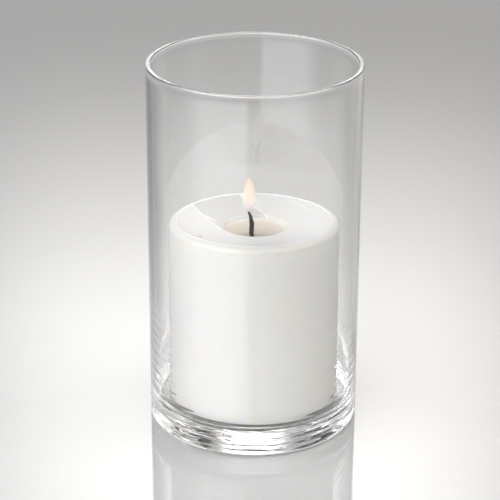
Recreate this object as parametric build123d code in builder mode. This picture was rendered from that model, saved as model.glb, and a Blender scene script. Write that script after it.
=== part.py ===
from build123d import *
from math import cos, radians, sin
import os

# Hurricane candle lantern: a clear glass cylinder with a heavy base, and a pillar candle loose in it.
# Millimetres, +Z up. The origin is the centre of the underside. -Y is the front, where the candle's top is
# highest.

# Glass cylinder
GLASS_RADIUS = 43.0
GLASS_HEIGHT = 152.4
WALL = 2.0
FLOOR_Z = 10.0              # top of the thick base, where the candle stands
FLOOR_CORNER = 5.0          # round between the floor and the wall, inside
HEEL = 2.6                  # round between the underside and the wall, outside
RIM_RADIUS = 1.25           # fire-polished rim, a little fatter than half the wall
RIM_BLEND = 2.5
PUNT_RADIUS = 36.0          # the underside is pushed up a little inside the ring it stands on
PUNT_RISE = 1.0

# Pillar candle: a poured core in a harder over-dipped shell
CANDLE_RADIUS = 34.75
SHELL = 3.12
TOP_Z = 86.3                # height of the top at the candle's axis, before it sank in the middle
TOP_SLOPE = 2.2             # degrees that the top falls towards the back
SHOULDER = 2.4
FOOT_ROUND = 1.2
DISH_DEPTH = 2.6
DISH_OVERLAP = 0.6          # the sunk top meets the shell this far below its edge, so a fine step shows
LAYER_GAP = 0.02

# Melted well round the wick
WELL_X = 0.7
WELL_Y = -1.4
WELL_LIP_RADIUS = 12.4
WELL_FLOOR_RADIUS = 10.4
WELL_FLOOR_Z = 74.5
WELL_CORNER = 3.0
WELL_LIP_ROUND = 0.7
POOL_Z = 76.5               # surface of the liquid wax
POOL_GAP = 0.03

# Wick, and the sustainer that holds it at the base
WICK_RADIUS = 0.9
WICK_GAP = 0.05
WICK_TIP_ROUND = 0.35
SUSTAINER_RADIUS = 10.0
SUSTAINER_DISC = 0.3
NECK_RADIUS = 1.7
NECK_HEIGHT = 4.3
SUSTAINER_GAP = 0.05
SUSTAINER_COVER = 0.6       # wax under the sustainer, which hides it from below

sustainer_z = FLOOR_Z + SUSTAINER_COVER

core_radius = CANDLE_RADIUS - SHELL
slope = radians(TOP_SLOPE)
top_normal = (0, sin(slope), cos(slope))
top_plane = Plane(origin=(0, 0, TOP_Z), x_dir=(1, 0, 0), z_dir=top_normal)
top_section = Plane(origin=(0, 0, TOP_Z), x_dir=(1, 0, 0), z_dir=(0, -cos(slope), sin(slope)))
above_top = TOP_Z + CANDLE_RADIUS

# The wick stands straight in the wax, leans a little in the well, and its burnt end curls over to the left.
wick_route = [
    (0, 0, sustainer_z),
    (0, 0, 77.7),
    (-1.15, 0, 80.6),
    (-1.15, 0, 85.6),
    (-1.5, 0, 87.8),
    (-2.35, 0, 89.8),
]
wick_bends = [6.0, 6.0, 6.0, 5.0]


def well_outline(gap):
    """Half outline of the well, from its floor to above the candle's top, drawn in by gap."""
    lip_z = TOP_Z - DISH_DEPTH
    widening = (WELL_LIP_RADIUS - WELL_FLOOR_RADIUS) / (lip_z - WELL_FLOOR_Z)
    top_radius = WELL_LIP_RADIUS + widening * (above_top - lip_z)
    return [
        (0, WELL_FLOOR_Z + gap),
        (WELL_FLOOR_RADIUS - gap, WELL_FLOOR_Z + gap),
        (top_radius - gap, above_top),
        (0, above_top),
    ]


well_section = Plane(origin=(WELL_X, WELL_Y, 0), x_dir=(1, 0, 0), z_dir=(0, -1, 0))
well_axis = Axis((WELL_X, WELL_Y, 0), (0, 0, 1))


with BuildPart() as glass_cylinder:
    with BuildSketch(Plane.XZ):
        wall_top = GLASS_HEIGHT - RIM_RADIUS
        bore_radius = GLASS_RADIUS - WALL
        with BuildLine():
            # Half of a shallow dome is an arc with a quarter of the dome's rise.
            SagittaArc((0, PUNT_RISE), (PUNT_RADIUS, 0), PUNT_RISE / 4)
            Line((PUNT_RADIUS, 0), (GLASS_RADIUS - HEEL, 0))
            CenterArc((GLASS_RADIUS - HEEL, HEEL), HEEL, -90, 90)
            Line((GLASS_RADIUS, HEEL), (GLASS_RADIUS, wall_top))
            Line((GLASS_RADIUS, wall_top), (bore_radius, wall_top))
            Line((bore_radius, wall_top), (bore_radius, FLOOR_Z + FLOOR_CORNER))
            CenterArc((bore_radius - FLOOR_CORNER, FLOOR_Z + FLOOR_CORNER), FLOOR_CORNER, -90, 90)
            Line((bore_radius - FLOOR_CORNER, FLOOR_Z), (0, FLOOR_Z))
            Line((0, FLOOR_Z), (0, PUNT_RISE))
        make_face()
        with Locations((GLASS_RADIUS - WALL / 2, wall_top)):
            Circle(RIM_RADIUS)
        creases = vertices().filter_by_position(Axis.Y, wall_top - RIM_RADIUS, wall_top - RIM_RADIUS / 2)
        fillet(creases, RIM_BLEND)
    revolve(axis=Axis.Z)

glass_cylinder.part.label = "glass_cylinder"


with BuildPart() as wax_core:
    with BuildSketch(Plane.XY.offset(FLOOR_Z)):
        Circle(core_radius - LAYER_GAP)
    extrude(amount=above_top - FLOOR_Z)
    split(bisect_by=top_plane, keep=Keep.BOTTOM)
    # The top has sunk into a shallow dish.
    with BuildSketch(top_section):
        dish_radius = core_radius + DISH_OVERLAP
        dish_curve = (dish_radius**2 + DISH_DEPTH**2) / (2 * DISH_DEPTH)
        with BuildLine():
            RadiusArc((0, -DISH_DEPTH), (dish_radius, 0), -dish_curve)
            Polyline((dish_radius, 0), (dish_radius, DISH_DEPTH), (0, DISH_DEPTH), (0, -DISH_DEPTH))
        make_face()
    revolve(axis=Axis((0, 0, TOP_Z), top_normal), mode=Mode.SUBTRACT)
    # Melted well
    with BuildSketch(well_section):
        with BuildLine():
            Polyline(*well_outline(0), close=True)
        make_face()
        fillet(vertices().sort_by(Axis.Y)[:2].sort_by(Axis.X)[-1], WELL_CORNER)
    revolve(axis=well_axis, mode=Mode.SUBTRACT)
    lip = edges().filter_by_position(Axis.Z, POOL_Z + WELL_CORNER, above_top)
    lip = lip.filter_by_position(Axis.X, -core_radius / 2, core_radius / 2)
    fillet(lip, WELL_LIP_ROUND)
    # The wax was poured round the wick and its sustainer.
    with BuildSketch(Plane.XY.offset(sustainer_z)):
        Circle(WICK_RADIUS + WICK_GAP)
    extrude(amount=POOL_Z - sustainer_z, mode=Mode.SUBTRACT)
    with BuildSketch(Plane.XY.offset(sustainer_z - SUSTAINER_GAP)):
        Circle(SUSTAINER_RADIUS + SUSTAINER_GAP)
    extrude(amount=SUSTAINER_DISC + 2 * SUSTAINER_GAP, mode=Mode.SUBTRACT)
    with BuildSketch(Plane.XY.offset(sustainer_z)):
        Circle(NECK_RADIUS + SUSTAINER_GAP)
    extrude(amount=NECK_HEIGHT + SUSTAINER_GAP, mode=Mode.SUBTRACT)

wax_core.part.label = "wax_core"


with BuildPart() as wax_shell:
    with BuildSketch(Plane.XY.offset(FLOOR_Z)):
        Circle(CANDLE_RADIUS)
        Circle(core_radius, mode=Mode.SUBTRACT)
    extrude(amount=above_top - FLOOR_Z)
    split(bisect_by=top_plane, keep=Keep.BOTTOM)
    rims = edges().filter_by(GeomType.LINE, reverse=True)
    top_rim = rims.sort_by(Axis.Z)[-2:].sort_by(SortBy.LENGTH)[-1]
    fillet(top_rim, SHOULDER)
    foot_rim = edges().filter_by(GeomType.CIRCLE).sort_by(Axis.Z)[:2].sort_by(SortBy.RADIUS)[-1]
    fillet(foot_rim, FOOT_ROUND)

wax_shell.part.label = "wax_shell"


with BuildPart() as wax_pool:
    with BuildSketch(well_section):
        with BuildLine():
            Polyline(*well_outline(POOL_GAP), close=True)
        make_face()
        fillet(vertices().sort_by(Axis.Y)[:2].sort_by(Axis.X)[-1], WELL_CORNER)
    revolve(axis=well_axis)
    split(bisect_by=Plane.XY.offset(POOL_Z), keep=Keep.BOTTOM)
    with BuildSketch(Plane.XY.offset(WELL_FLOOR_Z)):
        Circle(WICK_RADIUS + WICK_GAP)
    extrude(amount=POOL_Z - WELL_FLOOR_Z, mode=Mode.SUBTRACT)

wax_pool.part.label = "wax_pool"


with BuildPart() as wick:
    with BuildLine():
        FilletPolyline(*wick_route, radius=wick_bends)
    with BuildSketch(Plane(origin=wick_route[0], z_dir=(0, 0, 1))):
        Circle(WICK_RADIUS)
    sweep()
    fillet(edges().filter_by(GeomType.CIRCLE).sort_by(Axis.Z)[-1], WICK_TIP_ROUND)

wick.part.label = "wick"


with BuildPart() as wick_sustainer:
    with BuildSketch(Plane.XY.offset(sustainer_z)):
        Circle(SUSTAINER_RADIUS)
    extrude(amount=SUSTAINER_DISC)
    with BuildSketch(Plane.XY.offset(sustainer_z)):
        Circle(NECK_RADIUS)
    extrude(amount=NECK_HEIGHT)
    with BuildSketch(Plane.XY.offset(sustainer_z)):
        Circle(WICK_RADIUS + WICK_GAP)
    extrude(amount=NECK_HEIGHT, mode=Mode.SUBTRACT)

wick_sustainer.part.label = "wick_sustainer"


os.makedirs("parts", exist_ok=True)
export_step(glass_cylinder.part, "parts/glass_cylinder.step")
export_step(wax_core.part, "parts/wax_core.step")
export_step(wax_shell.part, "parts/wax_shell.step")
export_step(wax_pool.part, "parts/wax_pool.step")
export_step(wick.part, "parts/wick.step")
export_step(wick_sustainer.part, "parts/wick_sustainer.step")
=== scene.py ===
from math import cos, exp, pi, radians, sin, tan

import bpy
from mathutils import Matrix, Vector, noise


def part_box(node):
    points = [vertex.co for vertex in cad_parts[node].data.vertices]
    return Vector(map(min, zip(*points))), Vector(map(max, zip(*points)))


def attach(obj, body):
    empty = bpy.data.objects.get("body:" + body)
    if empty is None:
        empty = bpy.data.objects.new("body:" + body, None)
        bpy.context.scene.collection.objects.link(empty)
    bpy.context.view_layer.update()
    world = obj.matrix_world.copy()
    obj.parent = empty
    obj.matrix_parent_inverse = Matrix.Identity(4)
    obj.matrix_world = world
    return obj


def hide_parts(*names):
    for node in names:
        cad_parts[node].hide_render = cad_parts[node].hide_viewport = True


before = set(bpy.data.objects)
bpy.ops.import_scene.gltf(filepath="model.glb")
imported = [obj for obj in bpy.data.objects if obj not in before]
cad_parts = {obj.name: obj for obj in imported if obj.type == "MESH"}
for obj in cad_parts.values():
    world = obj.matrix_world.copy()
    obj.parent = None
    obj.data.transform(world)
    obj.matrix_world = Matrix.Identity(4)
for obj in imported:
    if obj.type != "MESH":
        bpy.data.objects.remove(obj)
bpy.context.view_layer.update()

# Hurricane candle lantern: a clear glass cylinder with a lit pillar candle in it, on a pale glossy table.
# Metres. +Z is up and -Y is the front, as in the CAD model.

MM = 0.001

# Glass
GLASS_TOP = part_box("glass_cylinder")[1].z
GLASS_RADIUS = 43.0 * MM
WALL = 2.0 * MM
BORE_RADIUS = GLASS_RADIUS - WALL
RIM_HALF = 1.08 * MM        # half the rim's thickness
RIM_FLARE = 1.6 * MM        # the wall swells into the rim over this height
HEEL = 2.6 * MM             # round between the underside and the wall
CORNER = 5.0 * MM           # round between the floor and the wall, inside
PUNT_RADIUS = 36.0 * MM     # the underside is pushed up inside this radius
PUNT_RISE = 1.0 * MM

# The glass's unevenness
RIPPLE_TOP = 72 * MM        # the mould's rings in the wall fade out by here
RIPPLE_SPACING = 4.4 * MM
BORE_RIPPLE = 0.02 * MM     # depth of the rings inside
WALL_RIPPLE = 0.06 * MM     # and outside
BASE_RIPPLE = 0.05 * MM     # and how much deeper they are near the floor
WOBBLE = 0.03 * MM
CHILL_SPACING = 5 * MM
CHILL_DEPTH = 0.055 * MM

# Candle, from its CAD boxes
core_low, core_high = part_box("wax_core")
pool_low, pool_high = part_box("wax_pool")
CANDLE_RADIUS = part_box("wax_shell")[1].x
CORE_RADIUS = core_high.x
FLOOR_Z = core_low.z
TOP_Z = 86.3 * MM           # height of the top at the candle's axis, before it sank in the middle
TOP_SLOPE = radians(2.2)    # the top falls towards the back
SHOULDER = 2.4 * MM
FOOT_ROUND = 0.7 * MM
WAX_LIFT = 0.06 * MM        # the wax stands this far off the glass, on its rough foot
RIDGE = 0.5 * MM            # the crisp edge where the shell ends and the sunk top begins
DISH_DEPTH = 2.6 * MM

# Melted well
WELL_CENTRE = (pool_low + pool_high) / 2
WELL_LIP_RADIUS = 13.3 * MM
WELL_LIP_ROLL = 0.8 * MM
WELL_FLOOR_RADIUS = 10.4 * MM
WELL_FLOOR_Z = pool_low.z
WELL_CORNER = 3.0 * MM

# Wick and flame
WICK_RADIUS = 0.85 * MM
WICK_TAPER = 5 * MM         # its burnt end thins over this height
WICK_ROUTE_MM = [
    (0, 0, 10.7),
    (0, 0, 40),
    (0, 0, 72),
    (-0.65, 0, 77.6),
    (-1.05, 0, 80.4),
    (-1.05, 0, 84.6),
    (-1.5, 0, 87.6),
    (-2.3, 0, 89.6),
]
FLAME_BASE = 88.0 * MM
FLAME_TOP = 104.8 * MM
FLAME_X = -2.1 * MM
FLAME_RADIUS = 3.0 * MM
FLAME_FULL = 0.27           # the flame is widest this far up
FLAME_LAYERS = 4

# Camera
LENS_MM = 133.2
SENSOR_MM = 36
CAMERA_DISTANCE = 754.8 * MM
CAMERA_PITCH = radians(22.95)
CAMERA_ROLL = radians(0.25)
CAMERA_TARGET = Vector((-1.6 * MM, 0, 72.5 * MM))


# ---------------------------------------------------------------- shader helpers

class Nodes:
    """Adds shader nodes to one tree. An input may be given a number, a colour or another node's output."""

    def __init__(self, tree):
        self.tree = tree
        tree.nodes.clear()

    def add(self, kind, settings=None, **inputs):
        """Adds a node. An input is named with _ for a space, or by its number, as in i0."""
        node = self.tree.nodes.new("ShaderNode" + kind)
        for key, value in (settings or {}).items():
            setattr(node, key, value)
        for key, value in inputs.items():
            self.set(node, key.replace("_", " "), value)
        return node

    def set(self, node, key, value):
        numbered = key[0] == "i" and key[1:].isdigit()
        socket = node.inputs[int(key[1:])] if numbered else node.inputs[key]
        if isinstance(value, bpy.types.NodeSocket):
            self.tree.links.new(value, socket)
        else:
            socket.default_value = value

    def math(self, operation, a, b=0.0, clamp=False):
        node = self.add("Math", {"operation": operation, "use_clamp": clamp}, i0=a, i1=b)
        return node.outputs[0]

    def plus(self, total, *others):
        for other in others:
            total = self.math("ADD", total, other)
        return total

    def minus(self, a, b):
        return self.math("SUBTRACT", a, b)

    def times(self, product, *others):
        for other in others:
            product = self.math("MULTIPLY", product, other)
        return product

    def larger(self, a, b):
        return self.math("MAXIMUM", a, b)

    def size(self, value):
        return self.math("ABSOLUTE", value)

    def distance(self, x, y):
        return self.math("SQRT", self.plus(self.times(x, x), self.times(y, y)))

    def step(self, value, low, high):
        """0 below low and 1 above high, or the other way round if low is the larger."""
        node = self.add("MapRange", {"interpolation_type": "SMOOTHSTEP", "clamp": True}, Value=value)
        node.inputs["From Min"].default_value = min(low, high)
        node.inputs["From Max"].default_value = max(low, high)
        node.inputs["To Min"].default_value = 0.0 if low < high else 1.0
        node.inputs["To Max"].default_value = 1.0 if low < high else 0.0
        return node.outputs["Result"]

    def ramp(self, factor, stops, smooth="EASE"):
        node = self.add("ValToRGB", Fac=factor)
        node.color_ramp.interpolation = smooth
        elements = node.color_ramp.elements
        while len(elements) < len(stops):
            elements.new(0.5)
        for element, (place, value) in zip(elements, stops):
            grey = isinstance(value, (int, float))
            element.position = place
            element.color = (value, value, value, 1) if grey else (*value, 1)
        return node.outputs["Color"]

    def mix(self, factor, a, b):
        node = self.add("Mix", {"data_type": "RGBA"})
        for socket, value in ((0, factor), (6, a), (7, b)):
            if isinstance(value, bpy.types.NodeSocket):
                self.tree.links.new(value, node.inputs[socket])
            else:
                node.inputs[socket].default_value = value if socket == 0 else (*value, 1)
        return node.outputs[2]

    def place(self):
        """Object coordinates, which are row coordinates in metres."""
        return self.add("TexCoord").outputs["Object"]

    def axes(self, vector):
        node = self.add("SeparateXYZ", Vector=vector)
        return [node.outputs[axis] for axis in "XYZ"]

    def noise(self, size, detail):
        """Noise whose features are about this many metres across."""
        node = self.add("TexNoise", Vector=self.place(), Scale=1 / size, Detail=detail)
        return node.outputs["Fac"]

    def finish(self, shader, kind="Material"):
        out = self.add("Output" + kind)
        self.tree.links.new(shader.outputs[0], out.inputs["Surface"])


def material(name, build):
    made = bpy.data.materials.new(name)
    made.use_nodes = True
    nodes = Nodes(made.node_tree)
    nodes.finish(build(nodes))
    return made


# ---------------------------------------------------------------- shape helpers

def arc(cx, cz, radius, start, end, steps):
    """Points on an arc in the (r, z) plane, from start to end in degrees."""
    turn = [radians(start + (end - start) * i / steps) for i in range(steps + 1)]
    return [(cx + radius * cos(a), cz + radius * sin(a)) for a in turn]


def steps_between(start, end, step):
    """Evenly spaced values after start and before end."""
    count = max(1, round(abs(end - start) / step))
    return [start + (end - start) * i / count for i in range(1, count)]


def around(cx, cy, radius, height):
    """A row of points round (cx, cy), at a height that may follow where each point is."""
    def point(angle):
        x = cx + radius * cos(angle)
        y = cy + radius * sin(angle)
        return (x, y, height(x, y) if callable(height) else height)
    return point


def round_axis(radius, height):
    return around(0, 0, radius, height)


def round_well(radius, height):
    return around(WELL_CENTRE.x, WELL_CENTRE.y, radius, height)


def rings(name, rows, segments, finish):
    """A skin through rows of points round the axis. A row is a function of the angle, or a pole's point."""
    points, faces, starts = [], [], []
    for row in rows:
        starts.append(len(points))
        if callable(row):
            points += [row(2 * pi * i / segments) for i in range(segments)]
        else:
            points.append(row)
    for a in range(len(rows) - 1):
        b = a + 1
        for i in range(segments):
            j = (i + 1) % segments
            lower = [starts[a] + i, starts[a] + j] if callable(rows[a]) else [starts[a]]
            upper = [starts[b] + j, starts[b] + i] if callable(rows[b]) else [starts[b]]
            faces.append(lower + upper)
    mesh = bpy.data.meshes.new(name)
    mesh.from_pydata(points, [], faces)
    mesh.polygons.foreach_set("use_smooth", [True] * len(mesh.polygons))
    mesh.materials.append(finish)
    mesh.update()
    made = bpy.data.objects.new(name, mesh)
    bpy.context.scene.collection.objects.link(made)
    return made


def belongs(piece, body, slot, *nodes):
    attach(piece, body)
    if nodes:
        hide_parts(*nodes)


# ---------------------------------------------------------------- camera

def make_camera():
    forward = Vector((0, cos(CAMERA_PITCH), -sin(CAMERA_PITCH)))
    data = bpy.data.cameras.new("camera")
    data.lens = LENS_MM
    data.sensor_width = SENSOR_MM
    data.clip_start = 0.01
    data.clip_end = 50
    camera = bpy.data.objects.new("camera", data)
    bpy.context.scene.collection.objects.link(camera)
    turned = (-forward).to_track_quat("Z", "Y").to_matrix() @ Matrix.Rotation(CAMERA_ROLL, 3, "Z")
    camera.matrix_world = Matrix.Translation(CAMERA_TARGET - forward * CAMERA_DISTANCE) @ turned.to_4x4()
    bpy.context.scene.camera = camera


# ---------------------------------------------------------------- glass

def clear_glass(n):
    return n.add(
        "BsdfPrincipled",
        Base_Color=(0.998, 0.998, 0.996, 1),
        Roughness=0.0,
        IOR=1.52,
        Transmission_Weight=1.0,
    )


def round_noise(angle, height):
    """Slow noise that joins up with itself round the axis."""
    return noise.noise(Vector((2 * cos(angle), 2 * sin(angle), height)))


def settle_rings(z, angle, fine=BORE_RIPPLE):
    """How far a wall stands out of round: rings left by the mould, closer and deeper towards the base."""
    if z > RIPPLE_TOP:
        return 0.0
    low = 1 - z / RIPPLE_TOP
    drift = round_noise(angle, z / (20 * MM))
    phase = 2 * pi * (z / RIPPLE_SPACING - 0.9 * low * low)
    wave = sin(phase + 0.9 * sin(angle + 0.6) + 2 * drift)
    depth = fine * low + BASE_RIPPLE * exp(-max(0.0, z - FLOOR_Z) / (9 * MM))
    return depth * (0.8 + 0.8 * drift) * (0.35 * low * wave + max(0.0, wave) ** 6)


def wobble(angle, z, seed, size=16 * MM):
    """The slow unevenness of a pressed glass wall."""
    around_wall = Vector((cos(angle), sin(angle), 0)) * GLASS_RADIUS / size
    return WOBBLE * noise.noise(around_wall + Vector((seed, 0, 0.7 * z / size)))


def chill_rings(radius, angle):
    """Fine rings pressed into the underside."""
    drift = round_noise(angle, radius / (7 * MM))
    phase = 2 * pi * radius / CHILL_SPACING + 1.3 * sin(2 * angle + 0.5) + 3 * drift
    return CHILL_DEPTH * (0.7 + 0.8 * drift) * sin(phase) * min(1.0, radius / (6 * MM))


def rim_top(mid_wall, wall_top, steps=28, squareness=2.7):
    """The fire-polished top, rounded at its edges and nearly flat along its crest."""
    points = []
    for i in range(1, steps + 1):
        a = pi * i / steps
        across = abs(cos(a)) ** (2 / squareness) * (1 if cos(a) > 0 else -1)
        up = abs(sin(a)) ** (2 / squareness)
        points.append((mid_wall + RIM_HALF * across, wall_top + RIM_HALF * up))
    return points


def glass_row(radius, z, face):
    """A row round the glass, with the unevenness of the face that it is on."""
    def point(angle):
        r, height = radius, z
        if face == "bore":
            r += settle_rings(z, angle) + wobble(angle, z, 3.0)
        elif face == "wall":
            above_heel = min(1.0, (z - HEEL) / CORNER)
            r += wobble(angle, z, 11.0) + settle_rings(z, angle + 1.3, WALL_RIPPLE) * above_heel
        elif face == "floor":
            r += settle_rings(z, angle) * (z - FLOOR_Z) / CORNER
        elif face == "under":
            height += chill_rings(radius, angle)
        return (r * cos(angle), r * sin(angle), height)
    return point


def glass_profiles():
    """The glass's half outline, face by face, from the middle of the underside to that of the floor."""
    wall_top = GLASS_TOP - RIM_HALF
    flare_z = wall_top - RIM_FLARE
    swell = [(s, (RIM_HALF - WALL / 2) * s * s * (3 - 2 * s)) for s in (i / 6 for i in range(1, 7))]

    under = [(PUNT_RADIUS * s, PUNT_RISE * (1 - s * s)) for s in (i / 90 for i in range(1, 91))]
    heel = arc(GLASS_RADIUS - HEEL, HEEL, HEEL, -90, 0, 12)
    wall = [(GLASS_RADIUS, z) for z in steps_between(HEEL, RIPPLE_TOP, 0.4 * MM)]
    wall += [(GLASS_RADIUS, z) for z in steps_between(RIPPLE_TOP, flare_z, 2 * MM)]
    rim = [(GLASS_RADIUS + d, flare_z + RIM_FLARE * s) for s, d in swell]
    rim += rim_top(GLASS_RADIUS - WALL / 2, wall_top)
    rim += [(BORE_RADIUS - d, flare_z + RIM_FLARE * s) for s, d in reversed(swell[:-1])]
    bore = [(BORE_RADIUS, z) for z in steps_between(flare_z, RIPPLE_TOP, 2 * MM)]
    bore += [(BORE_RADIUS, z) for z in steps_between(RIPPLE_TOP, FLOOR_Z + CORNER, 0.3 * MM)]
    floor = arc(BORE_RADIUS - CORNER, FLOOR_Z + CORNER, CORNER, 0, -90, 16)
    floor += [(r, FLOOR_Z) for r in steps_between(BORE_RADIUS - CORNER, 0, 3 * MM)]
    return {"under": under, "heel": heel, "wall": wall, "rim": rim, "bore": bore, "floor": floor}


def make_glass():
    finish = material("clear_glass", clear_glass)
    rows = [(0, 0, PUNT_RISE)]
    for face, profile in glass_profiles().items():
        rows += [glass_row(r, z, face) for r, z in profile]
    rows += [(0, 0, FLOOR_Z)]
    piece = rings("glass_vase", rows, 224, finish)
    belongs(piece, "glass", "clear_glass", "glass_cylinder")


# ---------------------------------------------------------------- candle

WAX = (0.957, 0.937, 0.91)
WAX_MOTTLED = (0.937, 0.91, 0.875)
WAX_OF_CORE = (0.85, 0.845, 0.84)
# Painted shade: grey for a painted shadow band across the top.
SHADOW_BAND_PAINTED_GREY = (0.7, 0.69, 0.675)
# Painted shade: darker, warmer wax painted in the sunk well.
WELL_PAINTED_SHADE = (0.85, 0.79, 0.72)
# Painted shade: greyer wax painted on the shoulder.
SHOULDER_PAINTED_SHADE = (0.81, 0.8, 0.77)
# Painted highlight: white for the highlights painted on the ridge and the top.
PAINTED_HIGHLIGHT_WHITE = (0.99, 0.99, 0.985)
SOOT = (0.25, 0.22, 0.2)
BAND_TURN = (0.88, 0.47)                        # direction across the painted shadow band on the top
BAND_EDGES = (-14.3 * MM, 9.3 * MM)             # its two edges, measured across it
CORE_TOP_BLEND = (-3.6 * MM, -2.9 * MM)         # the core's top blends in between these depths


def dash(n, x, y, x_mm, y_mm, turn, length, width):
    """A soft-edged dash on the top, centred on a point and turned by so many degrees."""
    x, y = n.minus(x, x_mm * MM), n.minus(y, y_mm * MM)
    c, s = cos(radians(turn)), sin(radians(turn))
    along = n.size(n.plus(n.times(x, c), n.times(y, s)))
    across = n.size(n.minus(n.times(y, c), n.times(x, s)))
    ends = n.step(along, (length / 2 + 1) * MM, length / 2 * MM)
    return n.times(ends, n.step(across, width * MM, 0))


def painted_top_highlights(n, x, y, across, along, on_top):
    """Painted highlights: white lines along the edges of the painted shadow band, and two short white
    highlight streaks.
    """
    painted_highlights = dash(n, x, y, 19.8, 18.8, -54, 14, 0.6)
    for side in BAND_EDGES:
        line = n.step(n.size(n.minus(across, side)), 0.55 * MM, 0.15 * MM)
        painted_highlights = n.larger(painted_highlights, n.times(line, n.step(along, -1 * MM, 3 * MM), on_top))
    return n.larger(painted_highlights, dash(n, x, y, -17.5, 5.5, -50, 6, 1.0))


def white_wax(n):
    x, y, z = n.axes(n.place())
    radius = n.distance(x, y)
    above = n.plus(n.minus(z, TOP_Z), n.times(y, tan(TOP_SLOPE)))
    on_top = n.step(above, *CORE_TOP_BLEND)

    mottle = n.minus(n.noise(5 * MM, detail=4), 0.5)
    colour = n.mix(n.plus(0.5, mottle), WAX, WAX_MOTTLED)
    # The poured core is a little greyer than the shell where it meets the air.
    core_top = n.times(on_top, n.step(radius, CORE_RADIUS, CORE_RADIUS - 0.5 * MM))
    colour = n.mix(core_top, colour, WAX_OF_CORE)
    # Painted shade: a band with straight parallel edges across the top is painted greyer still, as a painted
    # shadow band.
    across = n.plus(n.times(x, BAND_TURN[0]), n.times(y, BAND_TURN[1]))
    along = n.minus(n.times(y, BAND_TURN[0]), n.times(x, BAND_TURN[1]))
    left, right = BAND_EDGES
    painted_shadow_band = n.step(across, left - 0.5 * MM, left + 0.5 * MM)
    painted_shadow_band = n.times(painted_shadow_band, n.step(across, right + 0.5 * MM, right - 0.5 * MM))
    painted_shadow_band = n.times(painted_shadow_band, n.step(along, -3 * MM, 1 * MM), core_top)
    colour = n.mix(n.times(painted_shadow_band, 0.9), colour, SHADOW_BAND_PAINTED_GREY)
    # Painted highlights: white lines and streaks painted on the top.
    painted_highlights = painted_top_highlights(n, x, y, across, along, on_top)
    colour = n.mix(painted_highlights, colour, PAINTED_HIGHLIGHT_WHITE)
    speck = dash(n, x, y, -21.1, -18.1, 20, 0.9, 0.7)
    colour = n.mix(speck, colour, SOOT)
    # Painted shade: the wax of the sunk well is painted darker and warmer, as shade in the recess.
    painted_well_shade = n.times(n.step(above, -3.0 * MM, -5.5 * MM), n.step(radius, 18 * MM, 15 * MM))
    colour = n.mix(painted_well_shade, colour, WELL_PAINTED_SHADE)
    # Painted shade: the shell's shoulder is painted a little greyer, where it turns away from the light.
    painted_shoulder_shade = n.step(above, -3.2 * MM, -1.6 * MM)
    painted_shoulder_shade = n.times(painted_shoulder_shade, n.step(radius, CORE_RADIUS, CORE_RADIUS + 0.6 * MM))
    colour = n.mix(n.times(painted_shoulder_shade, 0.75), colour, SHOULDER_PAINTED_SHADE)
    # Painted highlight: the shell's fine edge is painted white, where it catches the light.
    edge = n.step(n.size(n.minus(radius, CORE_RADIUS)), 0.4 * MM, 0.15 * MM)
    edge = n.times(edge, n.step(above, -1.0 * MM, -0.5 * MM))
    colour = n.mix(edge, colour, PAINTED_HIGHLIGHT_WHITE)
    # The painted highlights and the soot speck get little subsurface blur, so that they stay crisp.
    crisp_highlights_and_speck = n.larger(n.times(edge, 0.9), n.larger(painted_highlights, speck))
    grain = n.add("Bump", Strength=0.25, Distance=0.05 * MM, Height=n.noise(0.9 * MM, detail=5))
    return n.add(
        "BsdfPrincipled",
        Base_Color=colour,
        Roughness=n.plus(0.52, n.times(mottle, 0.2)),
        Specular_IOR_Level=0.3,
        IOR=1.44,
        Subsurface_Weight=n.minus(1.0, n.times(crisp_highlights_and_speck, 0.9)),
        Subsurface_Radius=(1.0, 0.82, 0.62),
        Subsurface_Scale=2.5 * MM,
        Normal=grain.outputs[0],
    )


def top_plane(x, y):
    return TOP_Z - y * tan(TOP_SLOPE)


def dish(x, y):
    """Height of the sunk top."""
    spread = min(1.0, (x * x + y * y) / (CORE_RADIUS + 0.6 * MM) ** 2)
    return top_plane(x, y) - DISH_DEPTH * (1 - spread)


def candle_outside():
    """Rows from the middle of the foot, up the side and over the shoulder."""
    foot_z = FLOOR_Z + WAX_LIFT
    side_low = foot_z + FOOT_ROUND
    rows = [(0, 0, foot_z)]
    rows += [round_axis(r, foot_z) for r in steps_between(0, CANDLE_RADIUS - FOOT_ROUND, 4 * MM)]
    rows += [round_axis(r, z) for r, z in arc(CANDLE_RADIUS - FOOT_ROUND, side_low, FOOT_ROUND, -90, 0, 8)]

    def side(share):
        return lambda x, y: side_low + share * (top_plane(x, y) - SHOULDER - side_low)

    side_rows = 40
    rows += [round_axis(CANDLE_RADIUS, side(i / side_rows)) for i in range(1, side_rows)]
    for r, drop in arc(CANDLE_RADIUS - SHOULDER, -SHOULDER, SHOULDER, 0, 90, 14):
        rows.append(round_axis(r, lambda x, y, drop=drop: top_plane(x, y) + drop))
    return rows


def candle_top():
    """Rows over the fine ridge round the shell's inner edge, then down the sunk top to the well's lip."""
    rows = []
    for out_mm, rise in ((0.35, 0.3), (0.15, 0.9), (0, 1.0), (-0.12, 0.75), (-0.22, 0.2)):
        rows.append(round_axis(
            CORE_RADIUS + out_mm * MM,
            lambda x, y, rise=rise: top_plane(x, y) + RIDGE * (rise - 0.3)))
    edge = CORE_RADIUS - 0.4 * MM
    count = 30
    for i in range(count + 1):
        s = i / count
        radius = edge + (WELL_LIP_RADIUS - edge) * s
        rows.append(around(WELL_CENTRE.x * s, WELL_CENTRE.y * s, radius, dish))
    return rows


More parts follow.
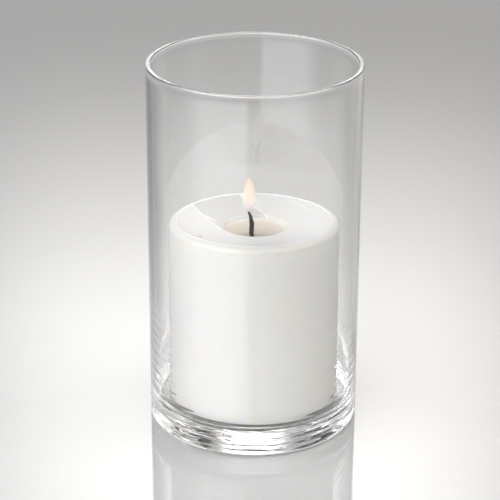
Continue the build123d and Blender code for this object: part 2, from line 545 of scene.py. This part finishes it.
def well_inside():
    """Rows over the well's rolled lip, down its wall, and across its floor."""
    rows = []
    lip_rows = 8
    for i in range(1, lip_rows + 1):
        a = radians(90 * i / lip_rows)
        rows.append(round_well(
            WELL_LIP_RADIUS - WELL_LIP_ROLL * sin(a),
            lambda x, y, a=a: dish(x, y) - WELL_LIP_ROLL * (1 - cos(a)) * 1.2))
    wall_radius = WELL_LIP_RADIUS - WELL_LIP_ROLL
    wall_z = WELL_FLOOR_Z + WELL_CORNER
    wall_rows = 16
    for i in range(1, wall_rows):
        s = i / wall_rows
        rows.append(round_well(
            wall_radius + (WELL_FLOOR_RADIUS - wall_radius) * s,
            lambda x, y, s=s: (1 - s) * (dish(x, y) - 1.2 * WELL_LIP_ROLL) + s * wall_z))
    flat = WELL_FLOOR_RADIUS - WELL_CORNER
    rows += [round_well(r, z) for r, z in arc(flat, wall_z, WELL_CORNER, 0, -90, 8)]
    rows += [round_well(r, WELL_FLOOR_Z) for r in steps_between(flat, 0, 1.5 * MM)]
    rows += [(WELL_CENTRE.x, WELL_CENTRE.y, WELL_FLOOR_Z)]
    return rows


def make_candle():
    finish = material("white_wax", white_wax)
    piece = rings("pillar_candle", candle_outside() + candle_top() + well_inside(), 192, finish)
    belongs(piece, "candle", "poured_wax", "wax_core", "wax_shell")


# ---------------------------------------------------------------- liquid wax

def liquid_wax(n):
    cloud = n.noise(4 * MM, detail=3)
    return n.add(
        "BsdfPrincipled",
        Base_Color=n.mix(cloud, (0.97, 0.94, 0.88), (0.94, 0.9, 0.82)),
        Roughness=n.plus(0.02, n.times(cloud, 0.05)),
        IOR=1.44,
        Transmission_Weight=0.9,
    )


def make_pool():
    finish = material("liquid_wax", liquid_wax)
    low = pool_low.z + 0.05 * MM
    climb = 0.3 * MM        # the surface climbs the wall by this much
    surface = pool_high.z - climb
    reach = (pool_high.x - pool_low.x) / 2 - 0.2 * MM
    corner = 2.0 * MM
    rows = [(WELL_CENTRE.x, WELL_CENTRE.y, low)]
    rows += [round_well(r, z) for r, z in arc(reach - corner, low + corner, corner, -90, -10, 8)]
    rows += [round_well(reach, pool_high.z)]
    for i in range(1, 12):
        d = i * 0.35 * MM
        rows.append(round_well(reach - d, surface + climb * exp(-d / (0.8 * MM))))
    rows += [(WELL_CENTRE.x, WELL_CENTRE.y, surface)]
    piece = rings("melted_wax", rows, 96, finish)
    belongs(piece, "candle", "liquid_wax", "wax_pool")


# ---------------------------------------------------------------- wick

def burnt_wick(n):
    """Charred cotton, with paler ash on its high threads."""
    ash = n.step(n.noise(0.5 * MM, detail=3), 0.5, 0.75)
    return n.add(
        "BsdfPrincipled",
        Base_Color=n.mix(ash, (0.01, 0.009, 0.009), (0.05, 0.046, 0.043)),
        Roughness=n.plus(0.65, n.times(ash, 0.3)),
    )


def along_route(route, share):
    """The point this far along a smooth curve through the route's points, from 0 to 1."""
    last = len(route) - 1
    t = share * last
    k = min(int(t), last - 1)
    u = t - k
    p0, p1, p2, p3 = (route[min(max(k + i, 0), last)] for i in (-1, 0, 1, 2))
    return 0.5 * ((2 * p1) + (p2 - p0) * u + (2 * p0 - 5 * p1 + 4 * p2 - p3) * u * u
                  + (3 * p1 - p0 - 3 * p2 + p3) * u ** 3)


def wick_row(centre, radius):
    """A row round the wick, over threads that wind both ways and charred lumps."""
    def point(angle):
        wind = centre.z / (0.45 * MM)
        braid = 1 + 0.08 * sin(3 * angle + wind) + 0.06 * sin(3 * angle - wind)
        lump = round_noise(angle, centre.z / (1.5 * MM))
        r = radius * (braid + 0.3 * lump)
        return (centre.x + r * cos(angle), centre.y + 0.85 * r * sin(angle), centre.z)
    return point


def make_wick():
    finish = material("burnt_wick", burnt_wick)
    route = [Vector(point) * MM for point in WICK_ROUTE_MM]
    tip = route[-1] + Vector((-0.1, 0, 0.25)) * MM
    count = 200
    rows = [tuple(route[0])]
    for i in range(count + 1):
        centre = along_route(route, i / count)
        left = route[-1].z - centre.z
        radius = WICK_RADIUS * (0.55 + 0.45 * min(1, left / WICK_TAPER))
        rows.append(wick_row(centre, radius if i < count else 0.4 * radius))
    rows.append(tuple(tip))
    piece = rings("braided_wick", rows, 24, finish)
    belongs(piece, "candle", "cotton_wick", "wick")


# ---------------------------------------------------------------- flame

FLAME_COLOURS = [
    (0.0, (0.72, 0.66, 0.75)),
    (0.25, (0.98, 0.84, 0.82)),
    (0.45, (1.0, 0.87, 0.71)),
    (0.75, (1.0, 0.84, 0.66)),
    (1.0, (1.0, 0.72, 0.55)),
]
FLAME_OPACITY = [(0.0, 0.0), (0.12, 0.03), (0.28, 0.12), (0.42, 0.25), (0.85, 0.28), (1.0, 0.12)]


def flame_glow(n):
    """One of the flame's thin layers: nearly clear and faintly violet at the foot, and pale yellow above."""
    height = n.axes(n.place())[2]
    up = n.math("DIVIDE", n.minus(height, FLAME_BASE), FLAME_TOP - FLAME_BASE, clamp=True)
    flicker = n.times(n.minus(n.noise(3 * MM, detail=1), 0.5), 0.1)
    glow = n.add("Emission", Color=n.ramp(up, FLAME_COLOURS), Strength=n.plus(1.08, flicker))
    opaque = n.math("ADD", n.ramp(up, FLAME_OPACITY), flicker, clamp=True)
    clear = n.add("BsdfTransparent")
    return n.add("MixShader", Fac=opaque, i1=clear.outputs[0], i2=glow.outputs[0])


def make_flame():
    """Thin layers inside one another, so that the flame's edge is soft."""
    finish = material("flame", flame_glow)
    count = 40
    for layer in range(FLAME_LAYERS):
        widest = (1 - 0.2 * layer) * FLAME_RADIUS
        tall = 1 - 0.02 * layer
        rows = [(FLAME_X, 0, FLAME_BASE)]
        for i in range(1, count):
            s = i / count
            narrowing = max(0.0, (s - FLAME_FULL) / (1 - FLAME_FULL))
            r = widest * min(1.0, s / FLAME_FULL) ** 0.5 * (1 - narrowing ** 1.7) ** 0.75
            middle = FLAME_X + 0.15 * MM * sin(3 * s)
            rows.append(around(middle, 0, r, FLAME_BASE + (FLAME_TOP - FLAME_BASE) * s * tall))
        rows += [(FLAME_X, 0, FLAME_BASE + (FLAME_TOP - FLAME_BASE) * tall)]
        piece = rings(f"flame_layer_{layer + 1}", rows, 48, finish)
        belongs(piece, "candle", "flame")


# ---------------------------------------------------------------- sustainer

def tinplate(n):
    stain = n.noise(1.5 * MM, detail=4)
    return n.add(
        "BsdfPrincipled",
        Base_Color=n.mix(stain, (0.66, 0.66, 0.64), (0.48, 0.47, 0.44)),
        Metallic=1.0,
        Roughness=n.plus(0.25, n.times(stain, 0.3)),
    )


def finish_sustainer():
    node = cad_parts["wick_sustainer"]
    node.data.materials.clear()
    node.data.materials.append(material("tinplate", tinplate))


# ---------------------------------------------------------------- stage and light

TABLE_Z = -0.05 * MM
# Painted light: the table's colour is palest round the lantern, as a painted pool of light. It greys towards
# the back, and faster to the sides.
TABLE_PAINTED_LIGHT = [(0.0, 0.44), (0.06, 0.42), (0.22, 0.262), (0.45, 0.193), (1.0, 0.205)]
SIDE_FALL = 1.3


def table_top(n):
    x, y, _ = n.axes(n.place())
    away = n.distance(n.times(x, SIDE_FALL), y)
    painted_light_pool = n.ramp(away, TABLE_PAINTED_LIGHT, "B_SPLINE")
    return n.add("BsdfPrincipled", Base_Color=painted_light_pool, Roughness=0.05, IOR=1.5)


def make_stage():
    finish = material("table", table_top)
    rows = [(0, 0, TABLE_Z)] + [round_axis(r, TABLE_Z) for r in (0.1, 0.3, 0.8, 2, 6)]
    rings("table", rows, 96, finish)


ROOM = 0.52                 # strength of the room's own light
BACK_PANEL = 4.8
BACK_GLINT = 1.3
KEY = 6.6
LEFT_EDGE = 5.2
RIGHT_EDGE = 6.0
WARM = (1.0, 0.97, 0.935)
COOL = (0.97, 0.985, 1.0)


def make_world():
    """A studio on the sky, by elevation and by bearing in degrees from the back, positive to the right."""
    world = bpy.data.worlds.new("studio")
    bpy.context.scene.world = world
    world.use_nodes = True
    n = Nodes(world.node_tree)
    x, y, z = n.axes(n.add("TexCoord").outputs["Generated"])
    elevation = n.times(n.math("ARCSINE", z), 180 / pi)
    bearing = n.times(n.math("ARCTAN2", x, y), 180 / pi)
    aside = n.size(bearing)

    def patch(low, high, left, right, soft, strength):
        """A soft-edged box of light between two elevations and two bearings."""
        return n.times(
            n.step(elevation, low, low + soft), n.step(elevation, high, high - soft),
            n.step(bearing, left, left + soft), n.step(bearing, right, right - soft), strength)

    room = n.plus(ROOM, n.times(n.step(elevation, 18, 12), 0.2), n.times(n.step(aside, 70, 130), 0.75))
    # The back is dark round its panel, which gives the thick glass its dark lines.
    gap = n.larger(n.step(aside, 14, 20), n.step(elevation, 34, 38))
    gap = n.times(gap, n.times(n.step(bearing, -62, -56), n.step(bearing, 48, 40)))
    gap = n.times(gap, n.times(n.step(elevation, 13, 18), n.step(elevation, 66, 58)))
    panel = n.times(n.step(elevation, 15, 30), n.step(elevation, 37, 33), n.step(aside, 15, 5))
    # The main light stands left of the camera and fades towards the object's side.
    key = n.times(n.step(bearing, -176, -168), n.step(bearing, -96, -130))
    key = n.times(key, n.times(n.step(elevation, 12, 16), n.step(elevation, 38, 34)))
    light = n.plus(
        n.times(room, n.minus(1.0, n.times(gap, 0.98))),
        n.times(panel, BACK_PANEL),
        patch(11, 27, 20, 60, 3, BACK_GLINT),
        n.times(key, KEY),
        # Two higher lights brighten the candle's edges.
        patch(38, 62, -112, -58, 4, LEFT_EDGE),
        patch(38, 62, 60, 116, 4, RIGHT_EDGE),
    )
    tint = n.mix(n.step(bearing, 20, -60), WARM, COOL)
    n.finish(n.add("Background", Color=tint, Strength=light), "World")


def render_settings():
    """Light runs along inside the glass to the rim, so it is followed through many bounces."""
    scene = bpy.context.scene
    scene.view_settings.view_transform = "Standard"
    scene.cycles.max_bounces = 96
    scene.cycles.transmission_bounces = 64
    scene.cycles.glossy_bounces = 64
    scene.cycles.diffuse_bounces = 5
    scene.cycles.transparent_max_bounces = 16


make_camera()
make_glass()
make_candle()
make_pool()
make_wick()
make_flame()
finish_sustainer()
make_stage()
make_world()
render_settings()
